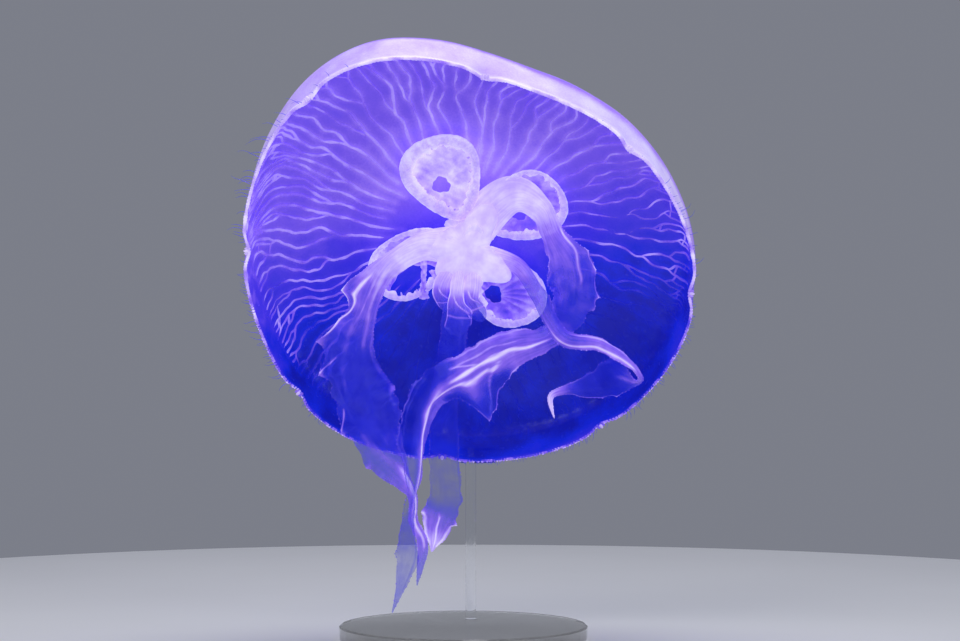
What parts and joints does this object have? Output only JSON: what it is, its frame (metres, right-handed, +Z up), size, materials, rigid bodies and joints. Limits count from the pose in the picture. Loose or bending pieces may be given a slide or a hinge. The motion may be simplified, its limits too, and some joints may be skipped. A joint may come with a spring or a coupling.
{
  "type": "moon jellyfish",
  "caption": "Life-size still moon jellyfish, bell banked with its mouth side to the viewer and oral arms hanging, held by a clear rod on a round foot",
  "frame": {"origin": "on the floor, at the middle of the underside of the stand's round foot", "axes": "+Z up; -Y is the side that the mouth faces, so +Y is behind the crown; +X is to the viewer's right when the mouth is seen"},
  "size_m": [0.2572, 0.1591, 0.331],
  "materials": {
    "bell": "clear jelly, deep blue below and violet above, wet gloss",
    "gonad": "milky lavender, frilled, wet gloss",
    "oral_arm": "thin violet membrane with pale edges, wet gloss",
    "sense_organ": "milky, glossy",
    "stand": "clear polished acrylic"
  },
  "bodies": {
    "root": {"bell_crown": "bell", "bell_lobe_1": "bell", "bell_lobe_2": "bell", "bell_lobe_3": "bell", "bell_lobe_4": "bell", "bell_lobe_5": "bell", "bell_lobe_6": "bell", "bell_lobe_7": "bell", "bell_lobe_8": "bell", "rhopalium_1": "sense_organ", "rhopalium_2": "sense_organ", "rhopalium_3": "sense_organ", "rhopalium_4": "sense_organ", "rhopalium_5": "sense_organ", "rhopalium_6": "sense_organ", "rhopalium_7": "sense_organ", "rhopalium_8": "sense_organ", "gonad_top": "gonad", "gonad_right": "gonad", "gonad_left": "gonad", "gonad_bottom": "gonad", "mouth": "oral_arm", "arm_left_root": "oral_arm", "arm_left_middle": "oral_arm", "arm_left_tip": "oral_arm", "arm_right_root": "oral_arm", "arm_right_middle": "oral_arm", "arm_right_tip": "oral_arm", "arm_hooked_root": "oral_arm", "arm_hooked_tip": "oral_arm", "arm_trailing_root": "oral_arm", "arm_trailing_tip": "oral_arm", "stand_foot": "stand", "stand_rod": "stand"}
  },
  "joints": []
}
